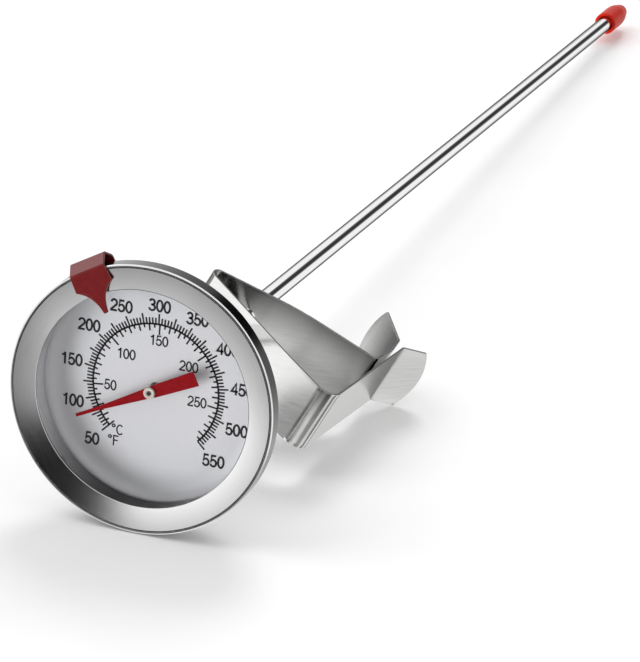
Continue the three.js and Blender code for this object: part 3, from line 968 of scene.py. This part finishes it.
def floor():
    """A pale disc that carries the thermometer on its rim and its clip, and levels out as the clip slides to the tip.

    CLIP_FOOT is the clip's lowest corner: how far it is behind the bezel, and how far above the rim's bottom.
    """
    mesh = bpy.data.meshes.new("floor")
    bm = bmesh.new()
    bmesh.ops.create_circle(bm, cap_ends=True, segments=96, radius=6.0)
    bm.to_mesh(mesh)
    bm.free()
    obj = bpy.data.objects.new("floor", mesh)
    scene.collection.objects.link(obj)
    obj.location = (0, FRONT + 2 * MM, -(RIM + FLOOR_GAP) * MM)
    tilt = obj.driver_add("rotation_euler", 0)
    tilt.driver.type = "AVERAGE"
    slide = tilt.driver.variables.new()
    slide.type = "TRANSFORMS"
    slide.targets[0].id = frame["bodies"]["pot_clip"]
    slide.targets[0].transform_type = "LOC_Y"
    for modifier in list(tilt.modifiers):
        tilt.modifiers.remove(modifier)
    back, above = CLIP_FOOT
    for distance in range(0, 280, 20):
        tilt.keyframe_points.insert(distance * MM, math.atan(above / (back + distance)))
    tree = Tree("floor_paper")
    grain = tree.noise(tree.place, 40.0)
    tree.set(colour=tree.colours(grain, [(0.3, (0.93, 0.93, 0.93)), (0.7, (0.95, 0.95, 0.95))]), rough=0.7)
    mesh.materials.append(tree.material)
    obj.visible_glossy = False
    obj.visible_shadow = False


def lamp(name, towards, strength, spread):
    """An even, soft light from a direction. The shiny pieces mirror the room instead of the lamps."""
    light = bpy.data.lights.new(name, "SUN")
    light.energy = strength
    light.angle = math.radians(spread)
    obj = bpy.data.objects.new(name, light)
    scene.collection.objects.link(obj)
    obj.rotation_euler = Vector(towards).to_track_quat("Z", "Y").to_euler()
    obj.visible_glossy = False


EVEN_LIGHT = 0.74
ROOM = [
    # direction, angle of the even middle, angle where it ends, brightness
    ((0.15, -0.75, -0.60), 9, 22, 0.74),
    ((0.25, 0.30, -0.92), 8, 17, 0.35),
    ((0.42, -0.40, -0.75), 10, 24, 0.28),
    ((0.52, 0.27, -0.79), 7, 15, 0.22),
    ((0.58, -0.06, -0.81), 5, 11, 0.74),
    ((-0.34, -0.76, -0.55), 8, 19, 0.54),
    ((-0.05, -0.94, -0.34), 5, 13, 0.42),
    ((-0.306, -0.891, -0.334), 5, 10, 0.05),
    ((-0.160, -0.977, -0.140), 6.0, 10.5, 0.0),
    ((-0.03, -1.0, -0.045), 7, 12, 0.0),
    ((-0.80, -0.58, -0.08), 12, 26, 1.15),
    ((-0.78, 0.04, 0.63), 8, 20, 2.5),
    ((-0.95, 0.31, 0.01), 6, 20, 0.76),
    ((-0.88, 0.48, -0.02), 3, 12, 0.15),
    ((0.21, 0.74, -0.62), 6, 14, 0.36),
    ((-0.03, 0.87, -0.49), 5, 12, 0.68),
    ((-0.50, 0.84, -0.23), 6, 12, 0.12),
    ((0.57, 0.74, 0.42), 8, 16, 0.08),
    ((0.306, 0.8915, 0.334), 7, 17, 0.04),
    ((1.0, 0.0, 0.05), 6, 15, 0.1),
    ((-0.683, -0.683, 0.26), 6, 15, 0.1),
]


def room_colour(nodes, links):
    """The room's brightness by direction: white, with a soft card laid over it for each row of ROOM."""
    direction = nodes.new("ShaderNodeTexCoord").outputs["Generated"]
    room = None
    for towards, core, rim, level in ROOM:
        dot = nodes.new("ShaderNodeVectorMath")
        dot.operation = "DOT_PRODUCT"
        links.new(direction, dot.inputs[0])
        dot.inputs[1].default_value = Vector(towards).normalized()
        spread = nodes.new("ShaderNodeMapRange")
        spread.interpolation_type = "SMOOTHSTEP"
        links.new(dot.outputs["Value"], spread.inputs["Value"])
        spread.inputs["From Min"].default_value = math.cos(math.radians(rim))
        spread.inputs["From Max"].default_value = math.cos(math.radians(core))
        mix = nodes.new("ShaderNodeMix")
        mix.data_type = "RGBA"
        links.new(spread.outputs[0], mix.inputs["Factor"])
        mix.inputs["A"].default_value = (*grey(1.0), 1.0)
        mix.inputs["B"].default_value = (*grey(level), 1.0)
        if room is not None:
            links.new(room, mix.inputs["A"])
        room = mix.outputs["Result"]
    return room


def surroundings():
    """A white studio with grey and black cards, which only the shiny pieces mirror. The camera sees plain white."""
    world = bpy.data.worlds.new("studio")
    scene.world = world
    world.use_nodes = True
    nodes, links = world.node_tree.nodes, world.node_tree.links
    nodes.clear()

    def background(strength):
        node = nodes.new("ShaderNodeBackground")
        node.inputs["Color"].default_value = (*grey(1.0), 1.0)
        node.inputs["Strength"].default_value = strength
        return node

    def either(choice, first, second):
        node = nodes.new("ShaderNodeMixShader")
        links.new(choice, node.inputs[0])
        links.new(first.outputs[0], node.inputs[1])
        links.new(second.outputs[0], node.inputs[2])
        return node

    mirrored = background(1.0)
    links.new(room_colour(nodes, links), mirrored.inputs["Color"])
    path = nodes.new("ShaderNodeLightPath")
    unseen = either(path.outputs["Is Glossy Ray"], background(EVEN_LIGHT), mirrored)
    everything = either(path.outputs["Is Camera Ray"], unseen, background(1.0))
    output = nodes.new("ShaderNodeOutputWorld")
    links.new(everything.outputs[0], output.inputs["Surface"])


def camera():
    """Looks down on the dial from its right, with the stem running away to the upper right."""
    azimuth, elevation, roll = math.radians(18.94), math.radians(19.49), math.radians(3.67)
    eye = bpy.data.cameras.new("camera")
    eye.lens = 244.3
    eye.sensor_width = 36.0
    eye.clip_start, eye.clip_end = 0.05, 30.0
    obj = bpy.data.objects.new("camera", eye)
    scene.collection.objects.link(obj)
    obj.location = (0.2862, FRONT - 0.7331, 0.2944)
    level = math.cos(elevation)
    forward = Vector((-math.sin(azimuth) * level, math.cos(azimuth) * level, -math.sin(elevation)))
    obj.rotation_mode = "QUATERNION"
    aim = forward.to_track_quat("-Z", "Y").to_matrix()
    obj.rotation_quaternion = (aim @ Matrix.Rotation(roll, 3, "Z")).to_quaternion()
    scene.camera = obj


floor()
lamp("key", (-0.72, -0.9, -0.36), 3.3, 36)
lamp("top", (-0.62, -0.35, 0.9), 0.6, 38)
lamp("back", (-0.1, 0.55, 0.85), 0.9, 25)
surroundings()
camera()
scene.view_settings.view_transform = "Standard"
scene.view_settings.look = "None"
